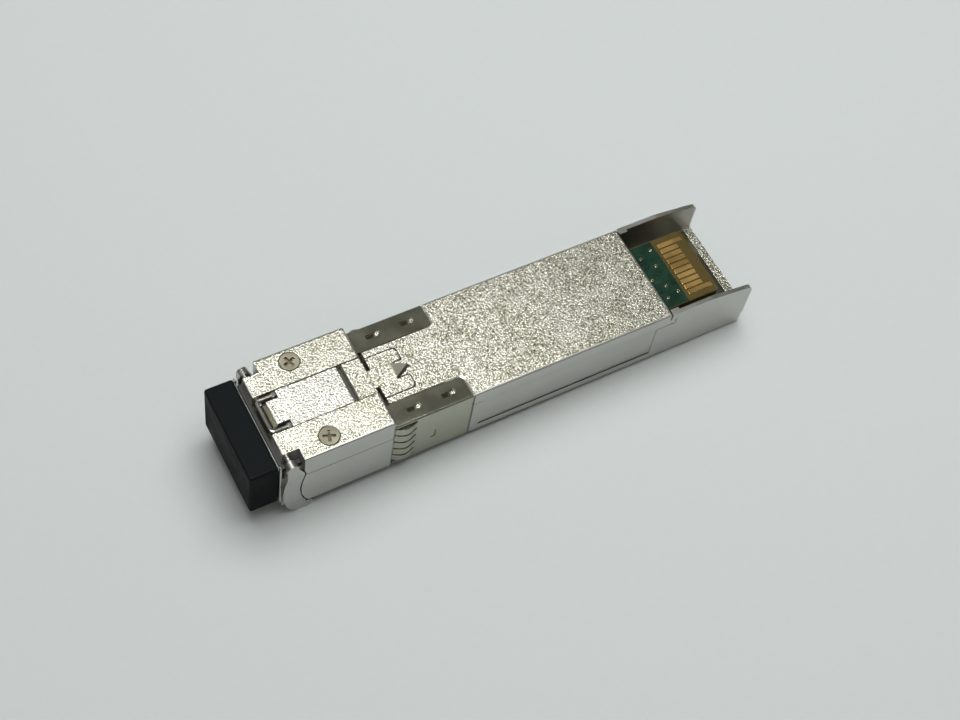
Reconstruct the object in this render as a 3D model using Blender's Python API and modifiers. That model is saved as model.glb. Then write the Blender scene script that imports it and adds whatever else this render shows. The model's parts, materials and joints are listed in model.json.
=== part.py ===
"""Pluggable optical transceiver module (small form factor, duplex LC), piece by piece.

The module lies on its label side, so its latch side faces up.  +X runs from the
dust plug to the edge connector, -Y is the near side and +Z is up.

Every length below is in millimetres from the datum: the latch shoulder in X, the
centre plane in Y and the label face in Z.  `spot` turns such a point into metres
in the part's own frame, whose origin is under the middle of the whole part.
"""

import math

import bmesh
import bpy
from mathutils import Matrix, Vector

# ---------------------------------------------------------------- driving sizes
MM = 0.001
DATUM_X = -12.45          # the latch shoulder, seen from the middle of the length
DATUM_Z = 1.25            # the label face, above the lowest line of the bail

GAP = 0.05                # seam between pieces that meet

NOSE_FRONT = -16.3        # label housing's front face
RAIL_FRONT = -15.95       # latch housing's front face
NOSE_REAR = -2.9          # step from the nose to the body that enters the cage
BODY_REAR = 45.0
OPENING_X = 33.5          # where the latch housing ends over the edge connector
NOSE_HALF = 6.85          # half widths
CORE_HALF = 6.25          # nose between the bail's arms
BODY_HALF = 6.7
NOSE_TOP = 9.9
BODY_TOP = 8.5
SEAM_Z = 6.45             # parting plane of the two housings
WALL = 0.8
ROOF = 7.85               # underside of the latch housing over the ports
CAVITY_TOP = BODY_TOP - WALL
INNER_HALF = BODY_HALF - WALL
EDGE_ROUND = 0.26
EAR_INNER = 6.2           # inner face of the two ears beside the edge connector

# LC ports
PORT_Y = 3.125            # half of the 6.25 mm pitch of a duplex LC connector
PORT_Z = 5.15             # height of the optical axes
PORT_HALF = 2.3
PORT_REAR = -11.6
RECEPTACLE_REAR = -11.0
RECEPTACLE_HALF = 5.8
RECEPTACLE_Z = (1.0, 7.8)
LATCH_SLOT_HALF = 1.5
LATCH_SLOT_DEPTH = 1.45

# bail, with its cranked axle across the nose
BAIL_X, BAIL_Z = -15.25, 8.7
HUB_R = 0.68
AXLE_R = 0.4
CRANK_R = 0.3
CRANK_OFFSET = 0.25       # the crank pin stands this far ahead of and above the axle
ARM_INNER = 6.35
ARM_GAP = 0.17            # between an arm's rear edge and the housings
HUB_INNER = 5.95
NOTCH_INNER = 5.2
NOTCH_REAR = -13.9
NOTCH_FLOOR = 7.3

# release slide, in the channel between the nose's rails
CHANNEL_HALF = 2.55
CHANNEL_FLOOR = 8.9
SLIDE_TOP = 9.85
SLIDE_BOTTOM = 8.95
SLIDE_FRONT = -14.75
SLIDE_HALF = 2.43
YOKE_Z = 9.58             # the yoke is bent from round wire
YOKE_R = 0.24
YOKE_X = -15.66
YOKE_ARM_Y = 2.1
YOKE_ARM_END = -13.62
POCKET_REAR = -13.22      # slots beside the yoke's arms
WEDGE_FOOT_X = -5.25
WEDGE_SLOPE = 1.2         # rise over run of the wedge that lifts the rocker

# latch rocker
ROCKER_X, ROCKER_Z = -3.0, 7.8
ROCKER_FRONT = -5.2
ROCKER_HALF = 2.7
TONGUE_THICK = 0.8
LOBE_END = 1.65
LOBE_INNER = 1.1
LOBE_ROUND = 0.5
TONGUE_FRONT = -2.1
SHOULDER_X = 0.1
BOSS_HALF = 1.05
BOSS_LENGTH = 1.9
BOSS_HEIGHT = 0.45
BOSS_DRAFT = 0.06
OUTLINE_GAP = 0.15
NECK_HALF = 1.15
POCKET_FLOOR = 6.85

# screws
SCREW_X, SCREW_Y = -10.25, 5.15
SCREW_HEAD_R = 1.15
SCREW_SHANK_R = 0.38
SCREW_CROSS = (0.17, 0.72, 0.42)   # half width, half length and depth of the recess

# shielding collar
COLLAR_THICK = 0.17
COLLAR_REAR = 6.9
COLLAR_FRONT = -2.75
COLLAR_HALF = 6.72        # outer face
COLLAR_FLAP = 3.75        # inner edge of the two latch-side flaps
FLAP_ROUND = 0.6
FINGER_ROOT = -0.1
FINGER_BULGE = 0.4
SLIT = 0.34
RECESS_REAR = 7.2
RECESS_GAP = 0.18         # between a flap's edge and the edge of its recess
WINDOW_X = (-0.1, 4.25)   # front pair and rear pair of the flaps' windows
WINDOW_Y = 5.2

# circuit board
BOARD_Z = (5.25, 6.25)
BOARD_FRONT, BOARD_REAR = 3.0, 41.8
BOARD_HALF = 5.6
BOARD_EDGE_HALF = 4.7
PAD_PITCH = 0.8
PAD_WIDTH = 0.58
PAD_COUNT = 10
PAD_START, PAD_END = 38.05, 40.4
PAD_LONG_END = 41.3       # the outermost contacts reach further, so they mate first

# dust plug
PLUG_X = (-20.1, -16.65)
PLUG_Z = (1.3, 9.05)
PLUG_HALF = 6.2
BOOT_END = -13.05
BOOT_HALF = 2.1


# ---------------------------------------------------------------- small helpers
def spot(x, y, z):
    """Datum millimetres to metres in the part's frame."""
    return Vector(((x + DATUM_X) * MM, y * MM, (z + DATUM_Z) * MM))


def clear_scene():
    for item in list(bpy.data.objects):
        bpy.data.objects.remove(item, do_unlink=True)


def collection(name):
    made = bpy.data.collections.new(name)
    bpy.context.scene.collection.children.link(made)
    return made


def material(name, colour, roughness, metallic):
    made = bpy.data.materials.new(name)
    made.use_nodes = True
    shader = made.node_tree.nodes["Principled BSDF"]
    shader.inputs["Base Color"].default_value = (*colour, 1.0)
    shader.inputs["Roughness"].default_value = roughness
    shader.inputs["Metallic"].default_value = metallic
    return made


FINISHES = {
    "nickel": ((0.72, 0.71, 0.68), 0.38, 1.0),
    "steel": ((0.55, 0.54, 0.50), 0.28, 1.0),
    "screw_steel": ((0.50, 0.47, 0.42), 0.30, 1.0),
    "kovar": ((0.74, 0.68, 0.52), 0.30, 1.0),
    "board": ((0.02, 0.14, 0.08), 0.45, 0.0),
    "flex": ((0.55, 0.30, 0.06), 0.45, 0.0),
    "black_resin": ((0.03, 0.03, 0.03), 0.50, 0.0),
    "black_rubber": ((0.02, 0.022, 0.024), 0.70, 0.0),
    "grey_rubber": ((0.35, 0.35, 0.36), 0.75, 0.0),
    "ceramic": ((0.55, 0.42, 0.28), 0.50, 0.0),
    "zirconia": ((0.88, 0.87, 0.84), 0.25, 0.0),
}


def add_object(name, mesh, finish=None):
    """Link a mesh as a part of the module, or as a cutter when it has no finish."""
    made = bpy.data.objects.new(name, mesh)
    if finish is None:
        CUTTERS.objects.link(made)
        made.hide_render = True
        made.display_type = "WIRE"
    else:
        PARTS.objects.link(made)
        mesh.materials.append(material(name, *FINISHES[finish]))
    return made


def mesh_from(bm, name):
    mesh = bpy.data.meshes.new(name)
    bm.to_mesh(mesh)
    bm.free()
    return mesh


def block(name, x, y, z, finish=None, bevel=0.0, segments=2):
    """A box between two datum limits on each axis, with optional rounded edges."""
    bm = bmesh.new()
    bmesh.ops.create_cube(bm, size=1.0)
    size = Vector((x[1] - x[0], y[1] - y[0], z[1] - z[0])) * MM
    bmesh.ops.scale(bm, vec=size, verts=bm.verts)
    made = add_object(name, mesh_from(bm, name), finish)
    made.location = spot(sum(x) / 2, sum(y) / 2, sum(z) / 2)
    if bevel:
        round_edges(made, bevel, segments)
    return made


def round_edges(target, width, segments=2):
    step = target.modifiers.new("round", "BEVEL")
    step.width = width * MM
    step.segments = segments
    step.limit_method = "ANGLE"
    step.angle_limit = math.radians(40)


TURN = {
    "X": Matrix.Rotation(math.pi / 2, 3, "Y"),
    "Y": Matrix.Rotation(-math.pi / 2, 3, "X"),
    "Z": Matrix.Identity(3),
}


def rod(name, axis, centre, radius, length, finish=None, sides=24, tip_radius=None):
    """A cylinder or cone along an axis, centred on a datum point."""
    bm = bmesh.new()
    end = radius if tip_radius is None else tip_radius
    bmesh.ops.create_cone(bm, cap_ends=True, segments=sides, radius1=radius * MM,
                          radius2=end * MM, depth=length * MM)
    bmesh.ops.rotate(bm, matrix=TURN[axis], verts=bm.verts)
    made = add_object(name, mesh_from(bm, name), finish)
    made.location = spot(*centre)
    return made


def wire(name, path, z, radius, finish, sides=14):
    """Round wire bent along (x, y) points at one height, with flat ends."""
    bm = bmesh.new()
    rings = []
    for i, (x, y) in enumerate(path):
        before, after = path[max(i - 1, 0)], path[min(i + 1, len(path) - 1)]
        run = Vector((after[0] - before[0], after[1] - before[1], 0)).normalized()
        across = Vector((-run.y, run.x, 0)) * radius
        turns = [2 * math.pi * k / sides for k in range(sides)]
        rings.append([bm.verts.new((Vector((x, y, z)) + across * math.cos(a)
                                    + Vector((0, 0, radius)) * math.sin(a)) * MM) for a in turns])
    for first, second in zip(rings, rings[1:]):
        for k in range(sides):
            bm.faces.new((first[k], second[k], second[k - 1], first[k - 1]))
    bm.faces.new(rings[0])
    bm.faces.new(rings[-1])
    bmesh.ops.recalc_face_normals(bm, faces=bm.faces)
    made = add_object(name, mesh_from(bm, name), finish)
    made.location = spot(0, 0, 0)
    return made


def outline(name, points, plane, span, finish=None):
    """A flat outline given in datum millimetres, extruded across the third axis.

    The outline is a filled 2D curve in millimetres; its mesh is welded, turned
    into the plane ("XY" or "XZ") and brought to metres.
    """
    curve = bpy.data.curves.new(name + "_line", "CURVE")
    curve.dimensions = "2D"
    curve.fill_mode = "BOTH"
    curve.extrude = (span[1] - span[0]) / 2
    spline = curve.splines.new("POLY")
    spline.points.add(len(points) - 1)
    for slot, (a, b) in zip(spline.points, points):
        slot.co = (a, b, 0.0, 1.0)
    spline.use_cyclic_u = True
    guide = bpy.data.objects.new(name + "_line", curve)
    CUTTERS.objects.link(guide)
    mesh = bpy.data.meshes.new_from_object(guide.evaluated_get(bpy.context.evaluated_depsgraph_get()))
    bpy.data.objects.remove(guide, do_unlink=True)
    bm = bmesh.new()
    bm.from_mesh(mesh)
    bmesh.ops.remove_doubles(bm, verts=bm.verts, dist=0.001)
    middle = sum(span) / 2
    bmesh.ops.translate(bm, vec=(0, 0, middle), verts=bm.verts)
    if plane == "XZ":
        bmesh.ops.rotate(bm, matrix=Matrix.Rotation(math.pi / 2, 3, "X"), verts=bm.verts)
        bmesh.ops.scale(bm, vec=(1, -1, 1), verts=bm.verts)
        bmesh.ops.reverse_faces(bm, faces=bm.faces)
    bmesh.ops.scale(bm, vec=(MM, MM, MM), verts=bm.verts)
    bmesh.ops.recalc_face_normals(bm, faces=bm.faces)
    made = add_object(name, mesh_from(bm, name), finish)
    made.location = spot(0, 0, 0)
    return made


def turned(name, profile, centre, finish, sides=28):
    """A solid of revolution along X: (x, radius) pairs, outside from front to rear."""
    bm = bmesh.new()
    ring = [bm.verts.new(((x - centre[0]) * MM, 0, r * MM)) for x, r in reversed(profile)]
    for first, second in zip(ring, ring[1:]):
        bm.edges.new((first, second))
    made = add_object(name, mesh_from(bm, name), finish)
    made.location = spot(*centre)
    step = made.modifiers.new("turn", "SCREW")
    step.axis = "X"
    step.steps = sides
    step.render_steps = sides
    step.use_merge_vertices = True
    step.merge_threshold = 0.000001
    return made


def combine(target, tool, operation):
    step = target.modifiers.new(tool.name, "BOOLEAN")
    step.operation = operation
    step.solver = "EXACT"
    step.object = tool


def cut(target, *tools):
    for tool in tools:
        combine(target, tool, "DIFFERENCE")


def join(target, *tools):
    for tool in tools:
        combine(target, tool, "UNION")


def smooth(target):
    target.data.shade_smooth()
    target.data.set_sharp_from_angle(angle=math.radians(35))


def arc(centre, radius, start, end, steps):
    """Points on an arc, angles in degrees."""
    return [(centre[0] + radius * math.cos(math.radians(start + (end - start) * i / steps)),
             centre[1] + radius * math.sin(math.radians(start + (end - start) * i / steps)))
            for i in range(steps + 1)]


def flowing(points, steps=4):
    """A smooth curve through the points, with `steps` pieces between each pair."""
    ends = [points[0]] + list(points) + [points[-1]]
    line = [points[0]]
    for a, b, c, d in zip(ends, ends[1:], ends[2:], ends[3:]):
        for i in range(1, steps + 1):
            t = i / steps
            line.append(tuple(0.5 * (2 * q + (r - p) * t + (2 * p - 5 * q + 4 * r - s) * t ** 2
                                     + (3 * q - p - 3 * r + s) * t ** 3)
                              for p, q, r, s in zip(a, b, c, d)))
    return line


def both_sides(inner, outer):
    """The near and the far span of a feature that both sides have."""
    return (("near", (-outer, -inner)), ("far", (inner, outer)))


# ---------------------------------------------------------------- bail outlines
# Side outline of one arm, top to bottom: its rear edge follows the housings'
# curved front edges, and its foot hooks under the label face.
ARM_REAR = flowing([(-14.5, 8.3), (-14.2, 7.6), (-13.86, 6.9), (-14.0, 5.9), (-14.28, 4.7),
                    (-14.36, 3.5), (-14.24, 2.2), (-13.92, 1.05), (-13.55, 0.35)], 3)
ARM_FRONT = flowing([(-15.1, -0.95), (-15.72, -0.2), (-16.1, 1.0), (-16.34, 2.6), (-16.38, 4.0),
                     (-16.22, 5.4), (-15.9, 6.9), (-15.93, 8.3)], 3)
FOOT_TOP = -0.1
FOOT_REAR = -12.55
FOOT_BOTTOM = -1.25
FOOT_FRONT = -15.0


def foot_section():
    """Rounded section of the handle bar under the label face."""
    height = FOOT_TOP - FOOT_BOTTOM
    rear = arc((FOOT_REAR - 0.5, FOOT_TOP - 0.5), 0.5, 90, 0, 3)
    low = arc((FOOT_REAR - 0.65, FOOT_BOTTOM + 0.65), 0.65, 0, -90, 4)
    front = arc((FOOT_FRONT + 0.85, FOOT_TOP - height + 0.85), 0.85, 270, 190, 4)
    return rear + low + front + [(FOOT_FRONT, FOOT_TOP)]


def arm_section():
    """One arm between its hub and the handle bar."""
    heel = [(-13.55, FOOT_TOP - 0.3), (-14.4, FOOT_BOTTOM + 0.1)]
    return ARM_REAR + heel + ARM_FRONT


def arm_clearance():
    """Room for an arm in the housings: everything ahead of its rear edge."""
    edge = [(x + ARM_GAP, z) for x, z in ARM_REAR]
    return [(-20.0, 8.3)] + edge + [(-13.2, -0.02), (-13.2, -3.0), (-20.0, -3.0)]


# ---------------------------------------------------------------- housings
def make_label_housing():
    top = SEAM_Z - GAP / 2
    shell = block("label_housing", (NOSE_FRONT, NOSE_REAR), (-NOSE_HALF, NOSE_HALF), (0, top + 1),
                  "nickel", EDGE_ROUND, 3)
    join(shell, block("label_body", (NOSE_REAR - 1.5, BODY_REAR), (-BODY_HALF, BODY_HALF),
                      (0, top + 1.1), bevel=EDGE_ROUND, segments=3))
    cut(shell, block("label_seam", (-20, 50), (-9, 9), (top, top + 3)))
    ear_line = [(OPENING_X + 0.06, 2.0), (BODY_REAR, 2.0), (BODY_REAR, 6.5)]
    ear_line += arc((BODY_REAR - 0.8, 6.9), 0.8, 0, 82, 4)
    ear_line += [(39.0, BODY_TOP), (OPENING_X + 0.06, BODY_TOP)]
    join(shell, outline("ears", ear_line, "XZ", (-BODY_HALF, BODY_HALF)))
    cut(shell,
        block("port_room", (-18, RECEPTACLE_REAR + GAP), (-RECEPTACLE_HALF - GAP, RECEPTACLE_HALF + GAP),
              (RECEPTACLE_Z[0] - GAP, 12)),
        block("sleeve_room", (-11.5, -9.4), (-4.65, 4.65), (WALL, 12)),
        block("board_room", (-9.5, 43.95), (-INNER_HALF, INNER_HALF), (WALL, 12)),
        block("ear_room", (34.62, 47.0), (-EAR_INNER, EAR_INNER), (3.3, 12)))
    for side, span in both_sides(CORE_HALF, 9.0):
        cut(shell, outline("arm_room_low_" + side, arm_clearance(), "XZ", span))
        cut(shell, rod("screw_hole_low_" + side, "Z", (SCREW_X, math.copysign(SCREW_Y, span[0]), 5.5),
                       SCREW_SHANK_R + 0.03, 4.0, sides=16))
    for side, span in both_sides(BODY_HALF - 0.1, 9.0):
        cut(shell, block("label_recess_" + side, (8.3, 31.7), span, (1.25, 9.0)))
    for side, span in both_sides(INNER_HALF - 0.2, 9.0):
        cut(shell, block("foot_room_" + side, (OPENING_X - 1, 34.2 + GAP), span, (SEAM_Z - 1, 7.3 + GAP)))
        join(shell, block("foot_rest_" + side, (OPENING_X - 1, 34.5),
                          (max(span[0], -BODY_HALF), min(span[1], BODY_HALF)), (SEAM_Z - 1.2, top)))
    cut(shell, *collar_recess("low"))
    return shell


def collar_recess(level):
    """Cutters for the shallow band that the shielding collar lies in."""
    depth = COLLAR_THICK + GAP
    tools = []
    for side, span in both_sides(COLLAR_HALF - depth, 9.0):
        tools.append(block(f"band_{level}_{side}", (NOSE_REAR, RECESS_REAR), span, (-1, 12)))
    for side, span in both_sides(COLLAR_HALF - depth - 0.2, 9.0):
        tools.append(block(f"tuck_{level}_{side}", (NOSE_REAR, NOSE_REAR + 0.7), span, (-1, 12)))
    if level == "low":
        tools.append(block("band_label", (NOSE_REAR, RECESS_REAR), (-9, 9), (-1, depth)))
        tools.append(block("tuck_label", (NOSE_REAR, NOSE_REAR + 0.7), (-9, 9), (-1, depth + 0.2)))
        return tools
    for side, sign in (("near", -1), ("far", 1)):
        inner, r = COLLAR_FLAP - RECESS_GAP, FLAP_ROUND + RECESS_GAP
        plan = [(NOSE_REAR, inner)] + arc((RECESS_REAR - r, inner + r), r, -90, 0, 4)
        plan += [(RECESS_REAR, 9.0), (NOSE_REAR, 9.0)]
        tools.append(outline("flap_" + side, [(x, sign * y) for x, y in plan], "XY",
                             (BODY_TOP - depth, 12)))
    tools.append(block("tuck_latch", (NOSE_REAR, NOSE_REAR + 0.85), (-9, 9), (8.0, 12)))
    return tools


def rocker_outline(grow):
    """Plan of the latch rocker's rear part: two lobes, with the boss between them."""
    half = ROCKER_HALF + grow
    end = LOBE_END + grow
    inner = LOBE_INNER - grow
    r = LOBE_ROUND
    front = TONGUE_FRONT - grow
    slope = BOSS_HALF / BOSS_LENGTH
    flank = BOSS_HALF + grow * math.hypot(1, slope)
    far = [(front, half)] + arc((end - r, half - r), r, 90, 0, 3)
    far += arc((end - r / 2, inner + r / 2), r / 2, 0, -90, 2)
    far += [(SHOULDER_X + (flank - inner) / slope, inner)]
    near = [(x, -y) for x, y in reversed(far)]
    return far + [(SHOULDER_X + flank / slope, 0.0)] + near


def make_latch_housing():
    low = SEAM_Z + GAP / 2
    shell = block("latch_housing", (RAIL_FRONT, NOSE_REAR), (-NOSE_HALF, NOSE_HALF),
                  (low - 1, NOSE_TOP), "nickel", EDGE_ROUND, 3)
    join(shell, block("latch_body", (NOSE_REAR - 1.5, OPENING_X), (-BODY_HALF, BODY_HALF),
                      (low - 1.1, BODY_TOP), bevel=EDGE_ROUND, segments=3))
    cut(shell, block("latch_seam", (-20, 50), (-9, 9), (low - 3, low)))
    for side, span in both_sides(INNER_HALF + GAP, BODY_HALF - 0.03):
        join(shell, block("foot_" + side, (OPENING_X - 1.2, 34.2), span, (low + 0.02, 7.3)))
    cut(shell,
        block("port_roof", (-18, RECEPTACLE_REAR + GAP), (-RECEPTACLE_HALF - GAP, RECEPTACLE_HALF + GAP),
              (0, ROOF)),
        block("sleeve_roof", (-11.5, -9.4), (-4.65, 4.65), (0, ROOF)),
        block("optics_roof", (-9.5, -3.7), (-INNER_HALF, INNER_HALF), (0, ROOF)),
        block("board_roof", (2.6, 36), (-INNER_HALF, INNER_HALF), (0, CAVITY_TOP)),
        block("channel", (-18, NOSE_REAR + 0.5), (-CHANNEL_HALF, CHANNEL_HALF), (CHANNEL_FLOOR, 12)),
        block("crank_room", (-18, -14.3), (-CHANNEL_HALF, CHANNEL_HALF), (8.05, 12)),
        block("neck_room", (-3.65, -2.0), (-NECK_HALF - 0.1, NECK_HALF + 0.1), (7.2, 12)),
        outline("tongue_room", rocker_outline(OUTLINE_GAP), "XY", (POCKET_FLOOR, 12)),
        rod("axle_hole", "Y", (BAIL_X, 0, BAIL_Z), AXLE_R + 0.03, 12.0),
        rod("pin_hole", "Y", (ROCKER_X, 0, ROCKER_Z), 0.28, 6.6, sides=16))
    for side, span in both_sides(3.6, INNER_HALF - 0.02):
        cut(shell, block("side_roof_" + side, (-4.0, 2.9), span, (0, CAVITY_TOP - 0.03)))
    for side, span in both_sides(1.45, CHANNEL_HALF - 0.03):
        cut(shell, block("yoke_pocket_" + side, (-15.0, POCKET_REAR), span, (8.15, 12)))
    for side, span in both_sides(NOTCH_INNER, 9.0):
        cut(shell, block("notch_" + side, (-18, NOTCH_REAR), span, (NOTCH_FLOOR, 12)))
    for side, span in both_sides(CORE_HALF, 9.0):
        y = math.copysign(SCREW_Y, span[0])
        cut(shell,
            outline("arm_room_high_" + side, arm_clearance(), "XZ", span),
            rod("screw_hole_" + side, "Z", (SCREW_X, y, 8.0), SCREW_SHANK_R + 0.07, 5.0, sides=16),
            rod("screw_sink_" + side, "Z", (SCREW_X, y, NOSE_TOP - 0.42), SCREW_SHANK_R + 0.1, 0.48,
                tip_radius=SCREW_HEAD_R + 0.05),
            rod("screw_bore_" + side, "Z", (SCREW_X, y, NOSE_TOP + 0.4), SCREW_HEAD_R + 0.11, 1.2))
    cut(shell, *collar_recess("high"))
    for side, sign in (("near", -1), ("far", 1)):
        for x in WINDOW_X:
            y = sign * WINDOW_Y
            cut(shell, block(f"window_pit_{side}_{x}", (x - 0.55, x + 0.4), (y - 0.24, y + 0.24),
                             (7.95, 9)))
            join(shell, rod(f"hook_{side}_{x}", "Z", (x + 0.78, y, BODY_TOP - 0.32), 0.31, 0.6, sides=16,
                            tip_radius=0.25))
    return shell


# ---------------------------------------------------------------- collar
def collar_path():
    """(y, z) points of the collar's middle surface, from one flap round to the other.

    Each point is paired with a flag: True where a slit lies between it and the next.
    """
    half = COLLAR_HALF - COLLAR_THICK / 2
    low, high = COLLAR_THICK / 2, BODY_TOP - COLLAR_THICK / 2
    r = 0.22
    side_slits = [8.0, 6.55, 5.05, 3.55, 2.1, 0.75]
    label_slits = [5.25, 3.75, 2.25, 0.75, -0.75, -2.25, -3.75, -5.25]
    path = [((-COLLAR_FLAP, high), False)]
    path += [(p, False) for p in arc((-half + r, high - r), r, 90, 180, 3)]
    for z in side_slits:
        path += [((-half, z + SLIT / 2), True), ((-half, z - SLIT / 2), False)]
    path += [(p, False) for p in arc((-half + r, low + r), r, 180, 270, 3)]
    for y in reversed(label_slits):
        path += [((y - SLIT / 2, low), True), ((y + SLIT / 2, low), False)]
    path += [(p, False) for p in arc((half - r, low + r), r, 270, 360, 3)]
    for z in reversed(side_slits):
        path += [((half, z - SLIT / 2), True), ((half, z + SLIT / 2), False)]
    path += [(p, False) for p in arc((half - r, high - r), r, 0, 90, 3)]
    path += [((COLLAR_FLAP, high), False)]
    return path


def finger_lift(x):
    """How far a spring finger stands out of the collar's plane at x."""
    if x >= FINGER_ROOT:
        return 0.0
    run = (FINGER_ROOT - x) / (FINGER_ROOT - COLLAR_FRONT)
    return FINGER_BULGE * math.sin(math.pi * run) ** 1.5 - 0.12 * max(0.0, run - 0.8) / 0.2


def make_collar():
    """A bent sheet: fingers between slits at the front, flaps with windows above."""
    path = collar_path()
    stations = [COLLAR_FRONT, -2.5, -2.15, -1.75, -1.35, -0.95, -0.5, FINGER_ROOT, COLLAR_REAR]
    slits = [i for i, (_, flag) in enumerate(path) if flag]
    first, last = slits[0], slits[-1] + 1
    corner = {i for i, ((y, z), _) in enumerate(path) if abs(y) > 5.4 and z < 0.7}
    bm = bmesh.new()
    grid = []
    for i, ((y, z), _) in enumerate(path):
        finger = first < i < last and i not in corner
        outward = Vector((0, math.copysign(1, y), 0)) if z > 0.6 else Vector((0, 0, -1))
        column = []
        for x in stations:
            lift = finger_lift(x) if finger else 0.0
            point = Vector((x, y, z)) + outward * lift
            column.append(bm.verts.new(point * MM))
        grid.append(column)
    for i, (left, right) in enumerate(zip(grid, grid[1:])):
        for j in range(len(stations) - 1):
            if path[i][1] and stations[j + 1] <= FINGER_ROOT:
                continue
            bm.faces.new((left[j], left[j + 1], right[j + 1], right[j]))
    bmesh.ops.recalc_face_normals(bm, faces=bm.faces)
    made = add_object("emi_collar", mesh_from(bm, "emi_collar"), "steel")
    made.location = spot(0, 0, 0)
    sheet = made.modifiers.new("sheet", "SOLIDIFY")
    sheet.thickness = COLLAR_THICK * MM
    sheet.offset = 0.0
    for side, sign in (("near", -1), ("far", 1)):
        for x in WINDOW_X:
            y = sign * WINDOW_Y
            hole = block(f"window_{side}_{x}", (x - 0.6, x + 0.8), (y - 0.28, y + 0.28), (7, 10))
            end = rod(f"window_end_{side}_{x}", "Z", (x + 0.78, y, 8.5), 0.38, 3, sides=20)
            cut(made, hole, end)
    for side, sign in (("near", -1), ("far", 1)):
        edge = arc((COLLAR_REAR - FLAP_ROUND, COLLAR_FLAP + FLAP_ROUND), FLAP_ROUND, -90, 0, 4)
        spare = edge + [(COLLAR_REAR + 1, COLLAR_FLAP + FLAP_ROUND), (COLLAR_REAR + 1, COLLAR_FLAP - 1),
                        (COLLAR_REAR - FLAP_ROUND, COLLAR_FLAP - 1)]
        cut(made, outline("flap_corner_" + side, [(x, sign * y) for x, y in spare], "XY", (7, 10)))
    for side, span in both_sides(6.0, 8.0):
        y = sum(span) / 2
        cut(made, block("lance_foot_" + side, (1.95, 2.6), (y - 1, y + 1), (2.85, 3.1)),
            block("lance_side_" + side, (2.35, 2.6), (y - 1, y + 1), (2.85, 4.35)))
    return made


# ---------------------------------------------------------------- bail, slide, latch
def make_bail():
    bar = outline("bail_lever", foot_section(), "XZ", (-NOSE_HALF, NOSE_HALF), "nickel")
    for side, span in both_sides(ARM_INNER, NOSE_HALF):
        join(bar, outline("arm_" + side, arm_section(), "XZ", span))
        hub_mid = math.copysign((HUB_INNER + NOSE_HALF) / 2, span[0])
        hub = rod("hub_" + side, "Y", (BAIL_X, hub_mid, BAIL_Z), HUB_R, NOSE_HALF - HUB_INNER, sides=28)
        join(bar, hub)
    cut(bar, rod("hub_bore", "Y", (BAIL_X, 0, BAIL_Z), AXLE_R + 0.02, 12.9, sides=20))
    return bar


def make_bail_axle():
    axle = rod("bail_axle", "Y", (BAIL_X, (1.6 + 6.4) / 2, BAIL_Z), AXLE_R, 4.8, "steel", sides=20)
    join(axle, rod("axle_near", "Y", (BAIL_X, -(1.6 + 6.4) / 2, BAIL_Z), AXLE_R, 4.8, sides=20),
         rod("web_far", "Y", (BAIL_X, 1.8, BAIL_Z), 0.58, 0.4),
         rod("web_near", "Y", (BAIL_X, -1.8, BAIL_Z), 0.58, 0.4),
         rod("crank_pin", "Y", (BAIL_X - CRANK_OFFSET, 0, BAIL_Z + CRANK_OFFSET), CRANK_R, 3.8, sides=16))
    return axle


def make_release_slide():
    wedge_top = WEDGE_FOOT_X - (SLIDE_TOP - 9.05) / WEDGE_SLOPE
    side = [(SLIDE_FRONT, SLIDE_TOP), (wedge_top, SLIDE_TOP), (WEDGE_FOOT_X, 9.05),
            (WEDGE_FOOT_X, SLIDE_BOTTOM), (-15.15, SLIDE_BOTTOM), (-15.15, 9.25), (SLIDE_FRONT, 9.25)]
    slide = outline("release_slide", side, "XZ", (-SLIDE_HALF, SLIDE_HALF), "nickel")
    for name, span in both_sides(1.5, 4.0):
        cut(slide, block("yoke_notch_" + name, (-16, -13.25), span, (8, 12)))
    return slide


def make_slide_yoke():
    """Smooth U-shaped bar ahead of the crank, with its ends sunk in the slide's notches."""
    bend = YOKE_R * 1.5
    half = [(YOKE_ARM_END, YOKE_ARM_Y)] + arc((YOKE_X + bend, YOKE_ARM_Y - bend), bend, 90, 180, 4)
    path = half + [(x, -y) for x, y in reversed(half)]
    yoke = wire("slide_yoke", path, YOKE_Z, YOKE_R, "steel")
    for side, y in (("near", -YOKE_ARM_Y), ("far", YOKE_ARM_Y)):
        join(yoke, rod("yoke_post_" + side, "Z", (YOKE_ARM_END, y, YOKE_Z - 0.16), 0.3, 0.78, sides=18))
    return yoke


def make_latch_rocker():
    """Front pad, neck and tongue with the triangular boss that locks into the cage."""
    top = BODY_TOP
    tongue = outline("latch_rocker", rocker_outline(0.0), "XY", (top - TONGUE_THICK, top), "nickel")
    join(tongue,
         block("rocker_pad", (ROCKER_FRONT, -3.05), (-SLIDE_HALF, SLIDE_HALF), (9.05, SLIDE_TOP)),
         block("rocker_web", (-3.5, -3.0), (-NECK_HALF, NECK_HALF), (7.7, 9.2)),
         block("rocker_neck", (-3.4, -1.9), (-NECK_HALF, NECK_HALF), (7.7, top)),
         rod("rocker_hub", "Y", (ROCKER_X, 0, ROCKER_Z), 0.5, 2 * NECK_HALF, sides=20))
    join(tongue, make_boss())
    cut(tongue, rod("rocker_bore", "Y", (ROCKER_X, 0, ROCKER_Z), 0.27, 4.0, sides=16))
    return tongue


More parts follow.
